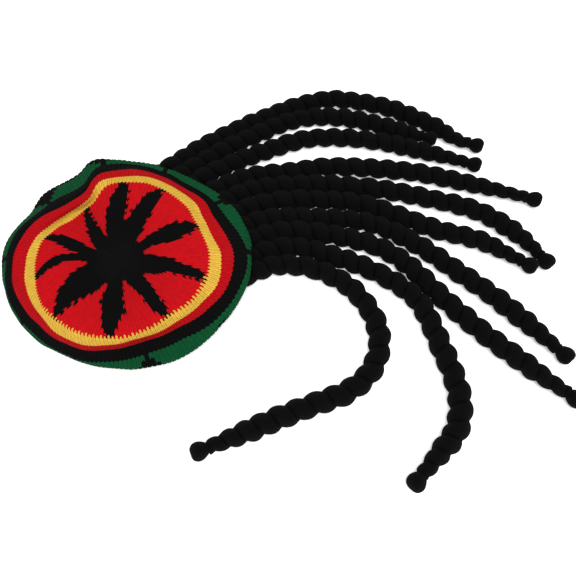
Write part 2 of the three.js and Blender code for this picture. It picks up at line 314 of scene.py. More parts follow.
def close_group(group, shape, material, end, smooth=True):
    """Ends a Geometry Nodes group, with its instances made real and its material set."""
    if smooth:
        shape = add(group, "GeometryNodeSetShadeSmooth", {"Geometry": shape})
    real = add(group, "GeometryNodeRealizeInstances", [shape])
    dressed = add(group, "GeometryNodeSetMaterial", {"Geometry": real, "Material": material})
    group.links.new(dressed.outputs[0], end.inputs[0])
    return group


def stitch_group():
    """Plain knit: from wales and courses counted across the cloth, finds each stitch and its height."""
    known_group = bpy.data.node_groups.get("Plain knit stitches")
    if known_group:
        return known_group
    group, known, end = new_group(
        "Plain knit stitches", "ShaderNodeTree",
        [("Wales", "Float"), ("Courses", "Float"), ("Lean", "Float", 1.3)],
        [("Height", "Float"), ("Shade", "Float")])
    work_out(group, known, [
        ("wale", "ROUND", "Wales"),
        ("across", "SUBTRACT", "Wales", "wale"),
        ("side", "ABSOLUTE", "across"),
        ("lean", "MULTIPLY_ADD", "side", "Lean", "Courses"),
        ("course", "FLOOR", "lean"),
        ("up", "SUBTRACT", "lean", "course"),
        # Each stitch has two legs, a deep groove to the next wale and a shallow one in its middle.
        ("off_leg", "SUBTRACT", "side", 0.24),
        ("leg", "MULTIPLY", "off_leg", "off_leg"),
        ("round", "MULTIPLY_ADD", "leg", -13.0, 1.0),
        ("off_middle", "SUBTRACT", "up", 0.5),
        ("bulge", "MULTIPLY", "off_middle", "off_middle"),
        ("long", "MULTIPLY_ADD", "bulge", -1.6, 1.0),
        ("height", "MULTIPLY", "round", "long"),
        # The yarn's plies wind round each leg.
        ("twice", "MULTIPLY", "side", 2.0),
        ("ply_at", "MULTIPLY_ADD", "up", 3.0, "twice"),
        ("ply_turn", "MULTIPLY", "ply_at", 2 * math.pi),
        ("ply", "SINE", "ply_turn"),
        ("plied", "MULTIPLY_ADD", "ply", 0.07, "height"),
        ("raised", "MAXIMUM", "plied", 0.0),
    ])
    spot = add(group, "ShaderNodeCombineXYZ", {"X": known["wale"], "Y": known["course"]})
    yarn = add(group, "ShaderNodeTexWhiteNoise", {"Vector": spot}, noise_dimensions="2D")
    known["yarn"] = yarn.outputs["Value"]
    work_out(group, known, [
        ("uneven", "MULTIPLY_ADD", "yarn", 0.14, 0.93),
        # The grooves between the wales are painted darker, as painted shade. uneven is each stitch's own
        # random tone.
        ("groove_shade", "MULTIPLY_ADD", "raised", 0.5, 0.58),
        ("shade", "MULTIPLY", "uneven", "groove_shade"),
    ])
    for label, name in (("Height", "raised"), ("Shade", "shade")):
        group.links.new(known[name], end.inputs[label])
    return group


def yarn_shader(material, tint, shade, height, depth):
    """Spun acrylic yarn: dull, with hardly any gloss and a trace of sheen from its loose fibres.

    shade scales the yarn's colour: it paints in shade, and in knit each stitch's own tone. depth says how
    deep its relief is, in metres.
    """
    tree = material.node_tree
    shaded = add(tree, "ShaderNodeVectorMath", {0: tint, "Scale": shade}, operation="SCALE")
    # Loose fibres give a fine grain. It is about 1 mm, coarser than real fibres, so that it shows.
    fuzz = add(tree, "ShaderNodeTexNoise", {
        "Vector": add(tree, "ShaderNodeTexCoord").outputs["Object"], "Scale": 900.0, "Detail": 2.0})
    fuzzy = add(tree, "ShaderNodeBump", {"Height": fuzz.outputs["Fac"], "Strength": 0.25, "Distance": 0.0003})
    relief = add(tree, "ShaderNodeBump", {
        "Height": height, "Strength": 1.0, "Distance": depth, "Normal": fuzzy})
    shader = add(tree, "ShaderNodeBsdfPrincipled", {
        "Base Color": shaded, "Roughness": 0.92, "IOR": 1.47, "Specular IOR Level": 0.06,
        "Sheen Weight": 0.008, "Sheen Roughness": 0.5, "Normal": relief})
    add(tree, "ShaderNodeOutputMaterial", {"Surface": shader})


def new_material(name):
    """A material with no nodes yet."""
    material = bpy.data.materials.new(name)
    material.use_nodes = True
    material.node_tree.nodes.clear()
    return material


def leaf_knit(yarns):
    """The crown's cloth: plain knit in four yarns, changed from stitch to stitch.

    Each stitch has one colour, so all edges are stepped, and its yarn is a little lighter or darker than the
    next one's. Painted shade darkens the grooves between the wales and the outer red ring.
    """
    material = new_material("Acrylic jacquard knit, leaf and rings")
    tree = material.node_tree
    place = add(tree, "ShaderNodeSeparateXYZ", [add(tree, "ShaderNodeUVMap", uv_map="cloth")])
    # The mesh itself draws the stitches as a V, so they don't lean here.
    stitches = add(tree, "ShaderNodeGroup", {
        "Wales": place.outputs["X"], "Courses": place.outputs["Y"], "Lean": 0.0}, node_tree=stitch_group())
    picked = add(tree, "ShaderNodeSeparateXYZ", [add(tree, "ShaderNodeUVMap", uv_map="yarn")])
    tint = linear(yarns.black)
    for number, hex_value in ((RED, yarns.red), (YELLOW, yarns.yellow), (GREEN, yarns.green)):
        past = add(tree, "ShaderNodeMath", [picked.outputs["X"], number - 0.5], operation="GREATER_THAN")
        tint = add(tree, "ShaderNodeMix", {0: past, 6: tint, 7: linear(hex_value)},
                   data_type="RGBA").outputs[2]
    # The yarn map's second value is painted shade, which darkens the outer red ring.
    shade = add(tree, "ShaderNodeMath", [stitches.outputs["Shade"], picked.outputs["Y"]],
                operation="MULTIPLY")
    yarn_shader(material, tint, shade, stitches.outputs["Height"], LEAF_DEPTH)
    return material


def black_knit(name, yarns, wales, courses, lobed=False):
    """Black yarn in plain knit on a tube: dull and deep black, with its stitches in soft rows.

    Its map counts turns round the tube, and metres along it. A lobed tube also has the map form, which is 0
    in the grooves between lobes, where the yarn is darkened as painted shade.
    """
    material = new_material(name)
    tree = material.node_tree
    place = add(tree, "ShaderNodeSeparateXYZ", [add(tree, "ShaderNodeUVMap", uv_map="cloth")])
    known = {"turn": place.outputs["X"], "far": place.outputs["Y"]}
    work_out(tree, known, [
        ("wales", "MULTIPLY", "turn", float(wales)),
        ("courses", "MULTIPLY", "far", float(courses)),
    ])
    stitches = add(tree, "ShaderNodeGroup", {"Wales": known["wales"], "Courses": known["courses"]},
                   node_tree=stitch_group())
    shade = stitches.outputs["Shade"]
    if lobed:
        form = add(tree, "ShaderNodeSeparateXYZ", [add(tree, "ShaderNodeUVMap", uv_map="form")])
        # Painted shade: the yarn is darkened in the grooves between lobes.
        light = add(tree, "ShaderNodeMapRange", {
            "Value": form.outputs["X"], "From Max": 0.55, "To Min": 0.12}, interpolation_type="SMOOTHSTEP")
        shade = add(tree, "ShaderNodeMath", [shade, light], operation="MULTIPLY")
    yarn_shader(material, linear(yarns.black)[:3], shade, stitches.outputs["Height"], BLACK_DEPTH)
    return material


def plain_mesh(name, vertices, faces=(), material=None, edges=(), **maps):
    """A mesh object at the origin. Each map gives a pair for each corner of each face."""
    mesh = bpy.data.meshes.new(name)
    mesh.from_pydata(vertices, edges, faces)
    for label, corners in maps.items():
        layer = mesh.uv_layers.new(name=label)
        layer.data.foreach_set("uv", [value for pair in corners for value in pair])
    if material:
        mesh.materials.append(material)
    mesh.polygons.foreach_set("use_smooth", [True] * len(mesh.polygons))
    mesh.update()
    piece = bpy.data.objects.new(name, mesh)
    bpy.context.collection.objects.link(piece)
    return piece


def path_mesh(name, paths):
    """A mesh object of bare edges along each path of points."""
    edges, first = [], 0
    for path in paths:
        edges.extend((first + n, first + n + 1) for n in range(len(path) - 1))
        first += len(path)
    return plain_mesh(name, [point for path in paths for point in path], edges=edges)


def keep(piece, modifier):
    """Keeps what a modifier makes of a piece as its plain mesh."""
    mesh = bpy.data.meshes.new_from_object(piece.evaluated_get(bpy.context.evaluated_depsgraph_get()))
    piece.modifiers.remove(modifier)
    mesh.name = piece.name
    piece.data = mesh


def grow(piece, group, values):
    """Runs a Geometry Nodes group on a piece with named values, and keeps the result."""
    modifier = piece.modifiers.new("Knit", "NODES")
    modifier.node_group = group
    for item in group.interface.items_tree:
        if item.item_type == "SOCKET" and item.in_out == "INPUT" and item.name in values:
            modifier[item.identifier] = values[item.name]
    keep(piece, modifier)


def through(points, parameter):
    """A point on the centripetal curve through points. parameter counts the points from 0."""
    last = len(points) - 1
    k = min(int(parameter), last - 1)
    w = parameter - k
    p1, p2 = points[k], points[k + 1]
    p0 = points[k - 1] if k > 0 else 2 * p1 - p2
    p3 = points[k + 2] if k + 2 <= last else 2 * p2 - p1
    d0, d1, d2 = ((b - a).length ** 0.5 for a, b in ((p0, p1), (p1, p2), (p2, p3)))
    t1 = ((p1 - p0) / d0 - (p2 - p0) / (d0 + d1) + (p2 - p1) / d1) * d1
    t2 = ((p2 - p1) / d1 - (p3 - p1) / (d1 + d2) + (p3 - p2) / d2) * d1
    return p1 + t1 * w + (3 * (p2 - p1) - 2 * t1 - t2) * w ** 2 + (2 * (p1 - p2) + t1 + t2) * w ** 3


def lock_line(route, band, locks, step=0.002):
    """The middle line of a lock, as points in metres a given step apart."""
    points = [Vector((x * MM + band.shift_x, y * MM + band.shift_y, locks.axis)) for x, y in route]
    fine = [through(points, k / 40) for k in range(40 * (len(points) - 1) + 1)]
    line = [fine[0]]
    for point in fine[1:-1]:
        if (point - line[-1]).length >= step:
            line.append(point)
    return [*line, fine[-1]]


def lobe_counts(lines, lobe):
    """How many lobes lie before each point of each lock. A lock's lobes fit between its neighbour's."""
    counts = []
    for line in lines:
        other = lines[len(counts) - 1] if counts else []
        steps = [(b - a).length for a, b in zip(line, line[1:])]
        rest = sum(steps)
        count = []
        for point, step in zip(line, [*steps, 0]):
            away, near = min(((point - spot).length, n) for n, spot in enumerate(other)) if counts else (1, 0)
            if not count:
                count.append(counts[-1][near] if counts else 0.0)
            rate = 1 / lobe + math.exp(-rest / LOBES_SHRINK) / LOBES_SHRINK
            if away < LOBES_MEET:
                rate *= 1 + LOBE_GIVE * math.sin(2 * math.pi * (counts[-1][near] - count[-1]))
            rest -= step
            count.append(count[-1] + step * rate)
        counts.append(count[:-1])
    return counts


def lock_group(material):
    """A tube of knit along a path, drawn in by one thread that winds round it, which leaves rounded lobes."""
    group, known, end = new_group("Lobed lock", "GeometryNodeTree", [
        ("Path", "Geometry"), ("Crest", "Float", 0.0125), ("Groove", "Float", 0.0089),
        ("Taper", "Float", 0.055), ("Tip", "Float", 0.62), ("Lift", "Float", 0.0003),
        ("Sides", "Int", 36), ("Step", "Float", 0.0012)],
        [("Lock", "Geometry")])
    curve = add(group, "GeometryNodeMeshToCurve", [known["Path"]])
    curve = add(group, "GeometryNodeResampleCurve", {"Curve": curve, "Length": known["Step"]}, mode="LENGTH")
    curve = add(group, "GeometryNodeSetCurveNormal", {"Curve": curve}, mode="Z_UP")
    spline, position = add(group, "GeometryNodeSplineParameter"), add(group, "GeometryNodeInputPosition")
    for name, value, kind in (
            ("along", spline.outputs["Length"], "FLOAT"),
            ("whole", add(group, "GeometryNodeSplineLength").outputs["Length"], "FLOAT"),
            ("middle", position, "FLOAT_VECTOR")):
        curve = add(group, "GeometryNodeStoreNamedAttribute", {
            "Geometry": curve, "Name": name, "Value": value}, data_type=kind)
    ring = add(group, "GeometryNodeCurveArc", {
        "Resolution": known["Sides"], "Radius": 0.001, "Sweep Angle": 2 * math.pi})
    ring = add(group, "GeometryNodeStoreNamedAttribute", {
        "Geometry": ring, "Name": "around", "Value": spline.outputs["Factor"]})
    tube = add(group, "GeometryNodeCurveToMesh", {"Curve": curve, "Profile Curve": ring})
    for name in ("along", "around", "whole", "lobes"):
        known[name] = add(group, "GeometryNodeInputNamedAttribute", {"Name": name}).outputs[0]
    work_out(group, known, [
        ("rest", "SUBTRACT", "whole", "along"),
        ("wound", "SUBTRACT", "lobes", "around"),
        ("in_lobe", "FRACT", "wound"),
        ("off_crest", "MULTIPLY_ADD", "in_lobe", 2.0, -1.0),
        ("off", "ABSOLUTE", "off_crest"),
        ("steep", "POWER", "off", 2.0),
        ("pillow", "SUBTRACT", 1.0, "steep"),
        ("depth", "SUBTRACT", "Crest", "Groove"),
        ("lobed", "MULTIPLY_ADD", "depth", "pillow", "Groove"),
    ])
    known["thin"] = add(group, "ShaderNodeMapRange", {
        "Value": known["rest"], "From Max": known["Taper"], "To Min": known["Tip"], "To Max": 1.0},
        interpolation_type="SMOOTHSTEP")
    # The stuffing is uneven, over about 22 mm.
    known["uneven"] = add(group, "ShaderNodeTexNoise", {"Scale": 45.0, "Detail": 1.0})
    steps = [
        ("swing", "SUBTRACT", "uneven", 0.5),
        ("swell", "MULTIPLY_ADD", "swing", 0.16, 1.0),
        ("swollen", "MULTIPLY", "lobed", "swell"),
        ("thinned", "MULTIPLY", "swollen", "thin"),
    ]
    # The root closes in a round cap 5 mm long, and the end by the knob in one of 2 mm.
    for name, cap in (("along", 0.005), ("rest", 0.002)):
        steps += [
            (name + "_cap", "DIVIDE", name, cap),
            (name + "_in", "MINIMUM", name + "_cap", 1.0),
            (name + "_out", "SUBTRACT", 1.0, name + "_in"),
            (name + "_sq", "MULTIPLY", name + "_out", name + "_out"),
            (name + "_left", "SUBTRACT", 1.0, name + "_sq"),
            (name + "_round", "SQRT", name + "_left"),
        ]
    steps += [
        ("ends", "MULTIPLY", "along_round", "rest_round"),
        ("radius", "MULTIPLY", "thinned", "ends"),
    ]
    work_out(group, known, steps)
    middle = add(group, "GeometryNodeInputNamedAttribute", {"Name": "middle"}, data_type="FLOAT_VECTOR")
    arm = add(group, "ShaderNodeVectorMath", [position, middle], operation="SUBTRACT")
    out = add(group, "ShaderNodeVectorMath", [arm], operation="NORMALIZE")
    # A lock lies a little flat under its own weight.
    flat = add(group, "ShaderNodeVectorMath", [out, (1.06, 1.06, 0.97)], operation="MULTIPLY")
    reach = add(group, "ShaderNodeVectorMath", {0: flat, "Scale": known["radius"]}, operation="SCALE")
    place = add(group, "ShaderNodeVectorMath", [middle, reach], operation="ADD")
    split = add(group, "ShaderNodeSeparateXYZ", [place])
    low = add(group, "ShaderNodeMath", [split.outputs["Z"], known["Lift"]], operation="MAXIMUM")
    laid = add(group, "ShaderNodeCombineXYZ", [split.outputs["X"], split.outputs["Y"], low])
    shape = add(group, "GeometryNodeSetPosition", {"Geometry": tube, "Position": laid})
    # The form map carries each lobe's shape to the material, which paints shade into the grooves with it.
    for name, pair in (("cloth", [known["around"], known["along"]]), ("form", [known["pillow"]])):
        shape = add(group, "GeometryNodeStoreNamedAttribute", {
            "Geometry": shape, "Name": name, "Value": add(group, "ShaderNodeCombineXYZ", pair)},
            data_type="FLOAT2", domain="CORNER")
    closed = add(group, "GeometryNodeMergeByDistance", {"Geometry": shape, "Distance": 0.00001})
    return close_group(group, closed, material, end)


def crown_at(azimuth):
    """The crown's row for any azimuth, on a smooth closed curve through the rows."""
    azimuth %= 360
    count = len(CROWN_ROWS)
    after = next((k for k, row in enumerate(CROWN_ROWS) if row[0] > azimuth), count)

    def row(k):
        return CROWN_ROWS[k % count]

    def angle(k):
        return row(k)[0] + 360 * (k // count)

    start, stop = angle(after - 1), angle(after)
    span = stop - start
    t = (azimuth - start) / span
    values = []
    for column in range(1, 9):
        p = [row(after + k)[column] for k in (-2, -1, 0, 1)]
        slope_in = (p[2] - p[0]) / (stop - angle(after - 2)) * span
        slope_out = (p[3] - p[1]) / (angle(after + 1) - start) * span
        values.append((2 * t ** 3 - 3 * t ** 2 + 1) * p[1] + (t ** 3 - 2 * t ** 2 + t) * slope_in
                      + (3 * t ** 2 - 2 * t ** 3) * p[2] + (t ** 3 - t ** 2) * slope_out)
    return values


def ring_edges(azimuth, crown):
    """Distance out, height, and distance along the cloth, of each ring's edge in one direction."""
    leaf, height, *falls, squeeze, over = crown_at(azimuth)
    lowest = crown.clearance + crown.fold_depth
    r, z, s = crown.leaf * leaf, crown.height * height, crown.leaf
    edges = [(r, z, s)]
    for width, fall in zip((crown.yellow, crown.red, crown.black, crown.green * over), falls):
        angle = math.radians(fall)
        r += width * squeeze * math.cos(angle)
        z = max(z - width * squeeze * math.sin(angle), lowest)
        s += width
        edges.append((r, z, s))
    return edges


def leaf_middle(crown):
    """The leaf's middle, placed so that the crown's outline is centred on the origin."""
    rims = []
    for k in range(256):
        angle = 2 * math.pi * k / 256
        r = ring_edges(360 * k / 256, crown)[-1][0]
        rims.append((r * math.cos(angle), r * math.sin(angle)))
    return Vector([-(min(c) + max(c)) / 2 for c in zip(*rims)])


def meridian(azimuth, middle, crown, band):
    """Points that the cloth's outer face runs through in one direction, and how far along it each lies."""
    angle = math.radians(azimuth)
    way = Vector((math.cos(angle), math.sin(angle)))

    def from_middle(r, z):
        return Vector((*(middle + way * r), z))

    def from_band(r, z):
        return Vector((band.shift_x + way.x * r, band.shift_y + way.y * r, z))

    edges = ring_edges(azimuth, crown)
    top = crown.height - crown.sag
    rim, rim_z, _ = edges[-1]
    fold = from_middle(rim - crown.fold_inset, rim_z - crown.fold_depth)
    lip = from_band(band.radius + crown.lip, band.height + SEAT)
    bend = from_middle(edges[0][0] * FIELD_BEND, top + (edges[0][1] - top) * FIELD_FALL)
    knots = [from_middle(0, top), bend, *(from_middle(r, z) for r, z, _ in edges),
             fold, fold.lerp(lip, UNDER_BEND), lip]
    far = [0, crown.leaf * FIELD_BEND, *(s for _, _, s in edges)]
    while len(far) < len(knots):
        far.append(far[-1] + (knots[len(far)] - knots[len(far) - 1]).length)
    return knots, far


def ramp(value, start, stop):
    """Rises smoothly from 0 at start to 1 at stop."""
    share = min(max((value - start) / (stop - start), 0), 1)
    return share * share * (3 - 2 * share)


def course_far(course, azimuth, end):
    """How far along the cloth a course lies in one direction, in metres. end is where the cloth ends."""
    place = azimuth % 360 * len(RING_ENDS) / 360
    before, after = (RING_ENDS[(int(place) + k) % len(RING_ENDS)] for k in (0, 1))
    share = ramp(place % 1, 0, 1)
    stops = [0, *((a + (b - a) * share) * MM for a, b in zip(before, after)), GREEN_END * MM, end]
    for count, start, stop in zip(RING_COURSES, stops, stops[1:]):
        if course <= count:
            return start + (stop - start) * course / count
        course -= count
    return end


def on_leaf(azimuth, s):
    """Whether a place in the field lies on the leaf. s is its distance along the cloth in millimetres."""
    s = max(s, LEAF_DISTANCES[0] - 2)
    final = len(LEAF_DISTANCES) - 2
    k = next((k for k in range(final) if s <= LEAF_DISTANCES[k + 1]), final)
    share = min((s - LEAF_DISTANCES[k]) / (LEAF_DISTANCES[k + 1] - LEAF_DISTANCES[k]), 1)
    edges = [[a + (b - a) * share for a, b in zip(ray[k], ray[k + 1])] for ray in LEAF_RAYS]
    edges.append([edge + 360 for edge in edges[0]])
    first = sum(edges[0]) / 2
    azimuth = first + (azimuth - first) % 360
    ray = next(n for n in range(len(LEAF_RAYS)) if azimuth < sum(edges[n + 1]) / 2)
    if s < LEAF_NOTCHES[ray]:
        return True
    tooth = math.degrees(TOOTH_DEPTH * ramp(s, *TEETH_GROW) / s)
    after = (ray + 1) % len(LEAF_RAYS)
    right = edges[ray][1] + tooth * TOOTH_SHARES[ray] * (s / TOOTH_LENGTH % 1 - 0.5)
    left = edges[ray + 1][0] - tooth * TOOTH_SHARES[after] * ((s / TOOTH_LENGTH + TOOTH_SHIFT) % 1 - 0.5)
    return azimuth < right or azimuth > left


def stitch_yarn(wale, course, leg, row):
    """The yarn of a stitch of the crown, in one of its four columns and two halves, and its painted shade."""
    azimuth = wale * 360 / WALES
    if course < FIELD_COURSES:
        # Every other yellow point is a long one.
        reach = (1, 0.5)[wale % 2] if leg in (1, 2) else 0
        if YELLOW_POINTS[0] < azimuth < YELLOW_POINTS[1] and course + row >= FIELD_COURSES - reach:
            return YELLOW, 1.0
        return BLACK if on_leaf(azimuth, course_far(course + 0.5, azimuth, 1) / MM) else RED, 1.0
    ring, first = 0, 0
    while course >= first + RING_COURSES[ring]:
        first += RING_COURSES[ring]
        ring += 1
    if RING_YARNS[ring] == GREEN:
        off = min(abs((wale - bar * WALES / 360 + WALES / 2) % WALES - WALES / 2) for bar in BARS)
        if off < BAR_REACH[course - first] + 0.5:
            return BLACK, 1.0
    # The outer red ring's yarn gets painted shade, which darkens it.
    return RING_YARNS[ring], RING_PAINTED_SHADE[ring]


def crown_grid(courses, lean, crown, band):
    """Points of the crown's cloth, a line of them for each column, at the given courses."""
    middle = leaf_middle(crown)
    top = crown.height - crown.sag
    last = sum(RING_COURSES)
    grid, distances = [], []
    for column in range(WALES * STITCH_COLUMNS):
        azimuth = (column / STITCH_COLUMNS - 0.5) * 360 / WALES
        knots, far = meridian(azimuth, middle, crown, band)
        off_middle = abs(column % STITCH_COLUMNS / STITCH_COLUMNS - 0.5)
        line, reach = [], []
        for course in courses:
            slant = FIELD_LEAN + (RING_LEAN - FIELD_LEAN) * ramp(course, FIELD_COURSES, FIELD_COURSES + 3)
            shift = slant * lean * (2 * off_middle - 0.5)
            shift *= min(course / MIDDLE_LEANS, (last - course) / LIP_LEANS, 1)
            s = course_far(course + shift, azimuth, far[-1])
            k = next((k for k in range(len(far) - 2) if s < far[k + 1]), len(far) - 2)
            point = through(knots, k + (s - far[k]) / (far[k + 1] - far[k]))
            point.z = top + (point.z - top) * ramp(s, 0, LEVEL_REACH)
            line.append(point)
            reach.append(s)
        grid.append(line)
        distances.append(reach)
    return grid, distances


def outward(grid, i, j):
    """The way out of the cloth at one of a grid's points."""
    along = grid[i][min(j + 1, len(grid[i]) - 1)] - grid[i][j - 1]
    around = grid[(i + 1) % len(grid)][j] - grid[i - 1][j]
    return along.cross(around).normalized()


def loosen(grid, distances):
    """Soft unevenness of cloth that lies loose."""
    loose = []
    for i, line in enumerate(grid):
        new = [line[0]]
        for j in range(1, len(line)):
            s = distances[i][j]
            # Waves of about 45 mm, and of about 17 mm that grow towards the rim, in millimetres. They fade
            # over 30 mm at the middle and at the seam.
            size = noise.noise(line[j] * 22) * 1.3
            size += noise.noise(line[j] * 60) * (0.35 + 0.35 * ramp(s, 0.09, 0.14))
            size *= min((distances[i][-1] - s) / 0.03, s / 0.03, 1)
            new.append(line[j] + outward(grid, i, j) * size * MM)
        loose.append(new)
    return loose


def knit_crown_mesh(crown, band):
    """The crown's shell: the outer face with its stitches, the inner face, and the edge round the lip."""
    columns, last = WALES * STITCH_COLUMNS, sum(RING_COURSES)
    first, final = CLOSE_COURSES
    courses = [half / 2 for half in range(2 * last + 1) if half % 2 == 0 or first <= half / 2 < final]
    inner_courses = list(range(0, last + 1, INNER_STEP))
    outer = loosen(*crown_grid(courses, 1, crown, band))
    lining = loosen(*crown_grid(inner_courses, 0, crown, band))
    inner = []
    for i, line in enumerate(lining):
        ways = [Vector((0, 0, 1)), *(outward(lining, i, j) for j in range(1, len(line)))]
        inner.append([point - way * crown.wall for point, way in zip(line, ways)])
        # The knit's edge lies flat on the band.
        way = Vector((line[-1].x - band.shift_x, line[-1].y - band.shift_y, 0)).normalized()
        inner[-1][-1] = line[-1] - way * (crown.lip + band.wall)

    vertices, faces, rises, cloth, yarn, numbers = [], [], [], [], [], []
    for grid, places in ((outer, courses), (inner, inner_courses)):
        pole = len(vertices)
        vertices.append(grid[0][0])
        rises.append(0.0)
        table = []
        for i, line in enumerate(grid):
            table.append([pole, *range(len(vertices), len(vertices) + len(line) - 1)])
            vertices.extend(line[1:])
            for course in places[1:]:
                fade = min(ramp(course, *RELIEF_GROWS), (last - course) / RELIEF_ENDS, 1)
                fade = fade if grid is outer else 0
                rise = STITCH_RISE[i % STITCH_COLUMNS] + (MIDDLE_RISE if course % 1 else END_RISE)
                rises.append(fade * rise)
        numbers.append(table)

    def face(corners, column, place, flip):
        """Adds a face and its maps. corners gives each corner's vertex, column and course."""
        corners = corners[::-1] if flip else corners
        faces.append([vertex for vertex, _, _ in corners])
        cloth.extend([(side / STITCH_COLUMNS - 0.5, up) for _, side, up in corners])
        wale, course = column // STITCH_COLUMNS, int(place)
        # The yarn map holds each stitch's yarn and the painted shade that darkens it.
        yarn.extend([stitch_yarn(wale, course, column % STITCH_COLUMNS, place - course)] * len(corners))

    for flip, (table, places) in enumerate(zip(numbers, (courses, inner_courses))):
        for i in range(columns):
            after = (i + 1) % columns
            face([(table[i][0], i, 0), (table[i][1], i, places[1]), (table[after][1], i + 1, places[1])],
                 i, 0, flip)
            for j in range(1, len(places) - 1):
                low, high = places[j], places[j + 1]
                face([(table[i][j], i, low), (table[i][j + 1], i, high), (table[after][j + 1], i + 1, high),
                      (table[after][j], i + 1, low)], i, low, flip)
    # The edge at the lip joins the outer face to the inner one.
    outside, inside = numbers
    for i in range(columns):
        after = (i + 1) % columns
        face([(outside[i][-1], i, last), (inside[i][-1], i, last), (inside[after][-1], i + 1, last),
              (outside[after][-1], i + 1, last)], i, last - 1, False)
    piece = plain_mesh("knit_crown", vertices, faces, cloth=cloth, yarn=yarn)
    piece.data.attributes.new("rise", "FLOAT", "POINT").data.foreach_set("value", rises)
    return piece


def relief_group(material):
    """Raises the legs of each stitch out of the cloth, and sinks the grooves between the wales."""
    group, known, end = new_group("Raised stitches", "GeometryNodeTree", [
        ("Cloth", "Geometry"), ("Depth", "Float", 0.0005)], [("Knit", "Geometry")])
    rise = add(group, "GeometryNodeInputNamedAttribute", {"Name": "rise"}).outputs[0]
    size = add(group, "ShaderNodeMath", [rise, known["Depth"]], operation="MULTIPLY")
    normal = add(group, "GeometryNodeInputNormal")
    move = add(group, "ShaderNodeVectorMath", {0: normal, "Scale": size}, operation="SCALE")
    raised = add(group, "GeometryNodeSetPosition", {"Geometry": known["Cloth"], "Offset": move})
    return close_group(group, raised, material, end, smooth=False)


def knob_shape(place, along, sizes):
    """A knob's points, faces and map.

    Pleats run in to the thread that closes its far end, and a short neck joins the lock.
    """
    turn = along.to_track_quat("Z", "Y")
    vertices, faces, corners = [], [], []
    for row in range(KNOB_ROWS + 1):
        angle = math.pi * row / KNOB_ROWS
        front, back = max(math.cos(angle), 0), max(-math.cos(angle), 0)
        for side in range(KNOB_SIDES):
            around = 2 * math.pi * side / KNOB_SIDES
            pleat = 1 - PLEAT_DEPTH * front ** 2 * (0.5 + 0.5 * math.cos(PLEATS * around + 2 * angle))
            r = sizes.knob * pleat * (1 - END_SINKS * front ** 6 + NECK_RISES * back ** 5)
            ball = Vector((math.sin(angle) * math.cos(around), math.sin(angle) * math.sin(around),
                           math.cos(angle)))
            point = place + turn @ ball * r
            point.z = max(point.z, sizes.lift)
            vertices.append(point)
    for row in range(KNOB_ROWS):
        for side in range(KNOB_SIDES):
            spots = [(row, side), (row + 1, side), (row + 1, side + 1), (row, side + 1)]
            faces.append([up * KNOB_SIDES + on % KNOB_SIDES for up, on in spots])
            corners.extend((on / KNOB_SIDES, up / KNOB_ROWS) for up, on in spots)
    return vertices, faces, corners


class TAM_OT_stage(bpy.types.Operator):
    """Sets the pale floor, the soft lights and the camera"""

    bl_idname = "tam.stage"
    bl_label = "Set the stage"

    def execute(self, context):
        scene = context.scene
        colours = scene.tam_colours
        scene.view_settings.view_transform = "Standard"
        lens = bpy.data.cameras.new("camera")
        lens.lens, lens.sensor_width = LENS, SENSOR
        camera = bpy.data.objects.new("camera", lens)
        camera.location = CAMERA_PLACE
        camera.rotation_euler = (math.radians(90 - CAMERA_DOWN), 0, 0)
        scene.collection.objects.link(camera)
        scene.camera = camera

        # A board under matt paint looks even and has no gloss. It glows a little, so it stays as pale as the
        # photo's background.
        floor_paint = new_material("Painted board, matt")
        tree = floor_paint.node_tree
        grain = add(tree, "ShaderNodeTexNoise", {
            "Vector": add(tree, "ShaderNodeTexCoord").outputs["Object"], "Scale": 400.0})
        dull = add(tree, "ShaderNodeMapRange", {
            "Value": grain.outputs["Fac"], "To Min": 0.85, "To Max": 0.95})
        board = add(tree, "ShaderNodeBsdfPrincipled", {
            "Base Color": linear(colours.floor), "Roughness": dull, "Specular IOR Level": 0.1,
            "Emission Color": (1, 1, 1, 1), "Emission Strength": FLOOR_GLOW})
        add(tree, "ShaderNodeOutputMaterial", {"Surface": board})
        signs = ((-1, -1), (1, -1), (1, 1), (-1, 1))
        floor = plain_mesh("floor", [(x * FLOOR_REACH, y * FLOOR_REACH, 0) for x, y in signs],
                           [(0, 1, 2, 3)], floor_paint)

        world = bpy.data.worlds.new("studio")
        world.use_nodes = True
        sky = world.node_tree.nodes["Background"].inputs
        sky["Color"].default_value, sky["Strength"].default_value = (1, 1, 1, 1), SKY_LIGHT
        scene.world = world
        for name, place, size, power in LAMPS:
            lamp = bpy.data.lights.new(name, "AREA")
            lamp.size, lamp.energy = size, power
            light = bpy.data.objects.new(name, lamp)
            light.location = place
            way = Vector(LAMPS_AIM) - Vector(place)
            light.rotation_euler = way.to_track_quat("-Z", "Y").to_euler()
            scene.collection.objects.link(light)
        return {"FINISHED"}


class TAM_OT_locks(bpy.types.Operator):
    """Knits the ten locks along their routes"""

    bl_idname = "tam.locks"
    bl_label = "Knit the locks"

    def execute(self, context):
        scene = context.scene
        sizes, band = scene.tam_locks, scene.tam_band
        group = lock_group(black_knit(
            "Acrylic tube knit, black", scene.tam_colours, 32, BLACK_COURSES, lobed=True))
        lines = [lock_line(route, band, sizes) for route in LOCK_ROUTES]
        for k, (line, lobes) in enumerate(zip(lines, lobe_counts(lines, sizes.lobe))):
            lock = path_mesh(f"knit_lock_{k + 1:02d}", [line])
            lock.data.attributes.new("lobes", "FLOAT", "POINT").data.foreach_set("value", lobes)
            grow(lock, group, {
                "Crest": sizes.crest, "Groove": sizes.groove, "Taper": LOCK_TAPERS[k] * MM,
                "Tip": sizes.tip, "Lift": sizes.lift})
            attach(lock, "root")
            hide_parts(f"lock_{k + 1:02d}")
        return {"FINISHED"}


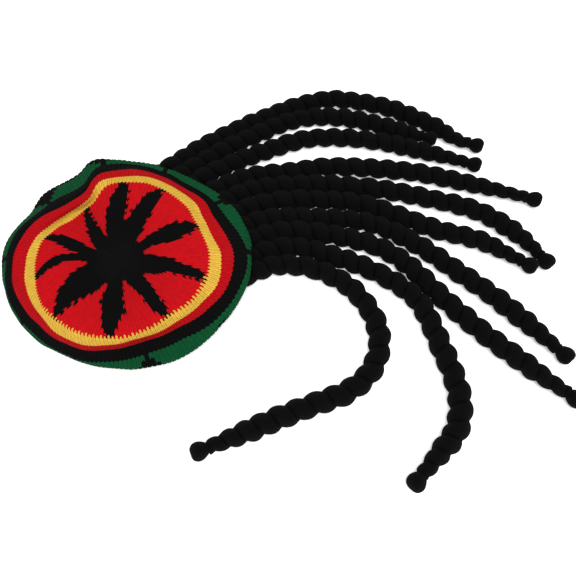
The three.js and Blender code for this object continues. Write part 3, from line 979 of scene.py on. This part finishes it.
class TAM_OT_knobs(bpy.types.Operator):
    """Makes the gathered knob at the end of each lock"""

    bl_idname = "tam.knobs"
    bl_label = "Gather the knobs"

    def execute(self, context):
        scene = context.scene
        sizes, band = scene.tam_locks, scene.tam_band
        yarn = black_knit("Acrylic knit gathered to a knob, black", scene.tam_colours, 26, 40)
        for k, route in enumerate(LOCK_ROUTES):
            line = lock_line(route, band, sizes)
            along = (line[-1] - line[-3]).normalized()
            place = line[-1] + along * sizes.knob_seat
            place.z = sizes.knob + sizes.lift
            vertices, faces, corners = knob_shape(place, along, sizes)
            knob = plain_mesh(f"knit_knob_{k + 1:02d}", vertices, faces, yarn, cloth=corners)
            weld = knob.modifiers.new("Weld", "WELD")
            weld.merge_threshold = 0.00001
            keep(knob, weld)
            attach(knob, "root")
            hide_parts(f"knob_{k + 1:02d}")
        return {"FINISHED"}


class TAM_OT_crown(bpy.types.Operator):
    """Knits the crown with its leaf and rings"""

    bl_idname = "tam.crown"
    bl_label = "Knit the crown"

    def execute(self, context):
        scene = context.scene
        crown = knit_crown_mesh(scene.tam_crown, scene.tam_band)
        grow(crown, relief_group(leaf_knit(scene.tam_colours)), {"Depth": scene.tam_crown.relief})
        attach(crown, "root")
        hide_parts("crown")
        return {"FINISHED"}


def band_group(material):
    """A ribbed band: a ring of knit whose faces rise and dip once for each rib."""
    group, known, end = new_group("Ribbed band", "GeometryNodeTree", [
        ("Start", "Geometry"), ("Radius", "Float", 0.089), ("Wall", "Float", 0.003),
        ("Height", "Float", 0.026), ("Rib depth", "Float", 0.0008), ("Ribs", "Int", 64),
        ("Place", "Vector")], [("Band", "Geometry")])
    work_out(group, known, [
        ("steps", "MULTIPLY", "Ribs", 8),
        ("half_wall", "MULTIPLY", "Wall", 0.5),
        ("half_height", "MULTIPLY", "Height", 0.5),
        ("mid", "SUBTRACT", "Radius", "half_wall"),
    ])
    circle = add(group, "GeometryNodeCurvePrimitiveCircle", {
        "Resolution": known["steps"], "Radius": known["mid"]})
    profile = add(group, "GeometryNodeCurvePrimitiveQuadrilateral", {
        "Width": known["Wall"], "Height": known["Height"]})
    fine = add(group, "GeometryNodeResampleCurve", {"Curve": profile, "Count": 58})
    ring = add(group, "GeometryNodeCurveToMesh", {"Curve": circle, "Profile Curve": fine})
    where = add(group, "ShaderNodeSeparateXYZ", [add(group, "GeometryNodeInputPosition")])
    known.update(x=where.outputs["X"], y=where.outputs["Y"], z=where.outputs["Z"])
    work_out(group, known, [
        ("angle", "ARCTAN2", "y", "x"),
        ("x2", "MULTIPLY", "x", "x"),
        ("r2", "MULTIPLY_ADD", "y", "y", "x2"),
        ("r", "SQRT", "r2"),
        ("off", "SUBTRACT", "r", "mid"),
        ("phase", "MULTIPLY", "angle", "Ribs"),
        ("wave", "COSINE", "phase"),
        ("half", "MULTIPLY", "Rib depth", 0.5),
        ("low", "MULTIPLY_ADD", "wave", "half", "half"),
        ("rib", "SUBTRACT", "low", "Rib depth"),
        ("outer", "SIGN", "off"),
        ("push", "MULTIPLY", "rib", "outer"),
        ("share", "DIVIDE", "push", "r"),
        ("move_x", "MULTIPLY", "x", "share"),
        ("move_y", "MULTIPLY", "y", "share"),
        ("turn", "MULTIPLY", "angle", 1 / (2 * math.pi)),
    ])
    move = add(group, "ShaderNodeCombineXYZ", [known["move_x"], known["move_y"], known["half_height"]])
    moved = add(group, "GeometryNodeSetPosition", {"Geometry": ring, "Offset": move})
    pair = add(group, "ShaderNodeCombineXYZ", [known["turn"], known["z"]])
    mapped = add(group, "GeometryNodeStoreNamedAttribute", {
        "Geometry": moved, "Name": "cloth", "Value": pair}, data_type="FLOAT2", domain="CORNER")
    placed = add(group, "GeometryNodeTransform", {"Geometry": mapped, "Translation": known["Place"]})
    return close_group(group, placed, material, end)


class TAM_OT_band(bpy.types.Operator):
    """Knits the ribbed band"""

    bl_idname = "tam.band"
    bl_label = "Knit the band"

    def execute(self, context):
        scene = context.scene
        sizes = scene.tam_band
        # Four wales for each rib.
        yarn = black_knit("Acrylic rib knit, black", scene.tam_colours, 256, BLACK_COURSES)
        band = plain_mesh("rib_band", [(0, 0, 0)])
        grow(band, band_group(yarn), {
            "Radius": sizes.radius, "Wall": sizes.wall, "Height": sizes.height, "Rib depth": sizes.rib_depth,
            "Ribs": sizes.ribs, "Place": (sizes.shift_x, sizes.shift_y, 0.0)})
        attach(band, "root")
        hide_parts("ribbed_band")
        return {"FINISHED"}


def thread_group(material):
    """Sewing thread: a fine round thread with closed ends along each stitch's path."""
    group, known, end = new_group("Sewing thread", "GeometryNodeTree", [
        ("Paths", "Geometry"), ("Thickness", "Float", 0.0010), ("Steps", "Int", 8)], [("Thread", "Geometry")])
    paths = add(group, "GeometryNodeMeshToCurve", [known["Paths"]])
    paths = add(group, "GeometryNodeResampleCurve", {"Curve": paths, "Count": known["Steps"]})
    half = add(group, "ShaderNodeMath", [known["Thickness"], 0.5], operation="MULTIPLY")
    ring = add(group, "GeometryNodeCurvePrimitiveCircle", {"Resolution": 8, "Radius": half})
    thread = add(group, "GeometryNodeCurveToMesh", {"Curve": paths, "Profile Curve": ring, "Fill Caps": True})
    return close_group(group, thread, material, end)


def plied_thread(yarns):
    """Two-ply sewing thread: fine slanting plies, which show only close by."""
    material = new_material("Polyester sewing thread, two-ply, black")
    tree = material.node_tree
    plies = add(tree, "ShaderNodeTexWave", {
        "Vector": add(tree, "ShaderNodeTexCoord").outputs["Object"], "Scale": 900.0, "Distortion": 0.5})
    # The grooves between the plies are painted darker, as painted shade.
    shade = add(tree, "ShaderNodeMapRange", {"Value": plies.outputs["Fac"], "To Min": 0.7})
    yarn_shader(material, linear(yarns.black)[:3], shade, plies.outputs["Fac"], THREAD_DEPTH)
    return material


class TAM_OT_sewing(bpy.types.Operator):
    """Sews the crown to its band, and the root of each lock to the band"""

    bl_idname = "tam.sewing"
    bl_label = "Sew the pieces"

    def execute(self, context):
        scene = context.scene
        band, crown, locks = scene.tam_band, scene.tam_crown, scene.tam_locks
        middle = Vector((band.shift_x, band.shift_y, 0))

        def on_band(out, azimuth, z):
            """A point out from the band's face by so much."""
            reach = band.radius + out
            return middle + Vector((reach * math.cos(azimuth), reach * math.sin(azimuth), z))

        seam = [[on_band(on_lip * crown.lip + out * MM, 2 * math.pi * (k + share / 2) / SEAM_STITCHES,
                         band.height + up * MM) for share, on_lip, out, up in SEAM_POINTS]
                for k in range(SEAM_STITCHES)]
        roots = []
        for route in LOCK_ROUTES:
            root, _, inner = lock_line(route, band, locks)[:3]
            azimuth = math.atan2(root.y - middle.y, root.x - middle.x)
            for turn in ROOT_TURNS:
                z = locks.axis + turn * ROOT_GAP * MM
                near = on_band(-ROOT_SINKS * MM, azimuth - 0.02, z)
                into = Vector((inner.x, inner.y, z))
                roots.append([near, (near + into) / 2 + Vector((0, 0, turn * ROOT_BOW * MM)), into])
        group = thread_group(plied_thread(scene.tam_colours))
        for name, paths, thickness in (("seam_stitches", seam, 0.0010), ("root_stitches", roots, 0.0011)):
            stitches = path_mesh(name, paths)
            grow(stitches, group, {"Thickness": thickness})
            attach(stitches, "root")
        return {"FINISHED"}


class TAM_PT_panel(bpy.types.Panel):
    """Lists the steps and sizes of the tam"""

    bl_idname = "TAM_PT_panel"
    bl_label = "Rasta tam"
    bl_space_type = "VIEW_3D"
    bl_region_type = "UI"
    bl_category = "Tam"

    def draw(self, context):
        for step in STEPS:
            self.layout.operator(step.bl_idname)
        for name, kind in SETTINGS.items():
            box = self.layout.box()
            for label in kind.__annotations__:
                box.prop(getattr(context.scene, name), label)


STEPS = (TAM_OT_stage, TAM_OT_locks, TAM_OT_knobs, TAM_OT_crown, TAM_OT_band, TAM_OT_sewing)
SETTINGS = {"tam_crown": CrownSizes, "tam_band": BandSizes, "tam_locks": LockSizes,
            "tam_colours": YarnColours}


def register():
    for kind in (*SETTINGS.values(), *STEPS, TAM_PT_panel):
        bpy.utils.register_class(kind)
    for name, kind in SETTINGS.items():
        setattr(bpy.types.Scene, name, bpy.props.PointerProperty(type=kind))


def unregister():
    for name in SETTINGS:
        delattr(bpy.types.Scene, name)
    for kind in (TAM_PT_panel, *reversed(STEPS), *reversed(SETTINGS.values())):
        bpy.utils.unregister_class(kind)


def main():
    register()
    for step in STEPS:
        group, name = step.bl_idname.split(".")
        getattr(getattr(bpy.ops, group), name)()


if __name__ == "__main__":
    main()
